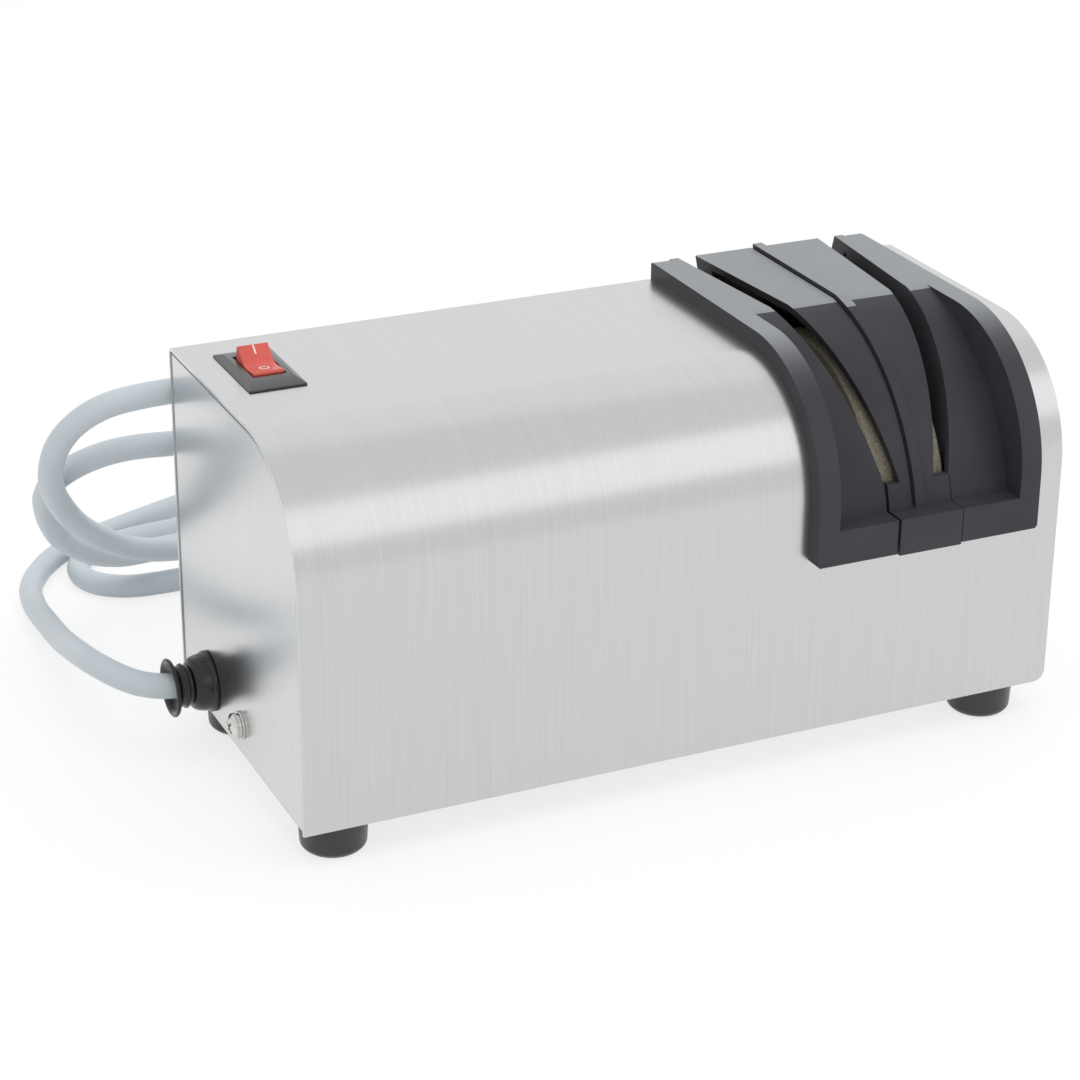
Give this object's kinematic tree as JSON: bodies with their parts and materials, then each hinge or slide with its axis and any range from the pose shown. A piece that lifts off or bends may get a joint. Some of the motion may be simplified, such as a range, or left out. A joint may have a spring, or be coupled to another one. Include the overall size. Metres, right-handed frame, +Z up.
{
  "type": "electric knife sharpener",
  "caption": "Table-top electric knife sharpener: folded steel housing, sprung grinding wheels under black slotted knife guides, rocker switch, rubber feet and mains cord",
  "frame": {"origin": "under the middle of the machine on the surface it stands on, cord left out", "axes": "+X along the length towards the knife guides, +Y from the curved front to the flat back, +Z up"},
  "size_m": [0.3442, 0.3418, 0.1555],
  "materials": {
    "steel_wrapper": "light brushed stainless sheet, grain along the length",
    "zinc_sheet": "dull zinc-plated sheet",
    "screw_steel": "bright nickel-plated fasteners",
    "foot_rubber": "soft black rubber",
    "guide_plastic": "dark charcoal moulded plastic with a fine satin grain",
    "shaft_steel": "turned steel",
    "grit": "pale yellow-beige bonded abrasive grit",
    "core_steel": "stacked electrical steel, varnished",
    "copper": "varnished copper wire",
    "cast_alloy": "raw die cast aluminium",
    "inner_plastic": "plain black moulded plastic",
    "block_plastic": "off-white nylon",
    "wire_jacket": "pvc wire insulation",
    "bezel_plastic": "dark grey satin plastic",
    "rocker_plastic": "translucent orange-red plastic with white marks",
    "plated_brass": "tinned and bare brass",
    "gland_rubber": "black moulded rubber",
    "cord_jacket": "light cool grey pvc jacket"
  },
  "bodies": {
    "housing": {"base_plate": "zinc_sheet", "base_screws": "screw_steel", "capacitor_clip": "zinc_sheet", "centre_guide": "guide_plastic", "clip_screw": "screw_steel", "cord_gland": "gland_rubber", "cord_lead": "cord_jacket", "cord_loops": "cord_jacket", "cord_tail": "cord_jacket", "cradle_screws": "screw_steel", "foot_back_left": "foot_rubber", "foot_back_right": "foot_rubber", "foot_front_left": "foot_rubber", "foot_front_right": "foot_rubber", "foot_nuts": "screw_steel", "foot_screws": "screw_steel", "gland_nut": "gland_rubber", "ground_lock_washer": "screw_steel", "ground_nut": "screw_steel", "ground_screw": "screw_steel", "ground_washer": "screw_steel", "guide_screws": "screw_steel", "housing_wrapper": "steel_wrapper", "left_bearing": "shaft_steel", "left_end_bell": "cast_alloy", "left_end_plate": "steel_wrapper", "left_guide": "guide_plastic", "motor_bolts": "screw_steel", "motor_cradle": "zinc_sheet", "plug_blades": "plated_brass", "plug_body": "cord_jacket", "plug_earth_pin": "plated_brass", "right_bearing": "shaft_steel", "right_end_bell": "cast_alloy", "right_end_plate": "steel_wrapper", "right_guide": "guide_plastic", "run_capacitor": "inner_plastic", "stator_stack": "core_steel", "stator_winding": "copper", "supply_cores": "wire_jacket", "switch_blades": "plated_brass", "switch_housing": "bezel_plastic", "switch_leads": "wire_jacket", "terminal_block": "block_plastic", "terminal_screws": "screw_steel"},
    "rocker": {"switch_rocker": "rocker_plastic"},
    "shaft": {"motor_shaft": "shaft_steel", "drive_key": "shaft_steel", "wheel_spring": "shaft_steel", "stop_collar": "shaft_steel", "shaft_washer": "shaft_steel", "shaft_nut": "shaft_steel", "rotor_core": "core_steel", "cooling_fan": "inner_plastic"},
    "wheel_left": {"left_wheel": "grit", "left_wheel_hub": "shaft_steel"},
    "wheel_right": {"right_wheel": "grit", "right_wheel_hub": "shaft_steel"}
  },
  "joints": [
    {"name": "rocker_tilt", "type": "hinge", "parent": "housing", "child": "rocker", "pos_m": [-0.12605, 0.0318, 0.148], "axis": [-1, 0, 0], "range_deg": [0, 28]},
    {"name": "shaft_spin", "type": "hinge", "parent": "housing", "child": "shaft", "pos_m": [0.00205, 0.002, 0.0835], "axis": [1, 0, 0], "continuous": true},
    {"name": "left_wheel_slide", "type": "slide", "parent": "shaft", "child": "wheel_left", "axis": [1, 0, 0], "range_m": [0, 0.002], "stiffness_N_per_m": 2000, "springref_m": -0.004, "deforming": ["wheel_spring"]},
    {"name": "right_wheel_slide", "type": "slide", "parent": "shaft", "child": "wheel_right", "axis": [-1, 0, 0], "range_m": [0, 0.002], "stiffness_N_per_m": 2000, "springref_m": -0.004}
  ]
}
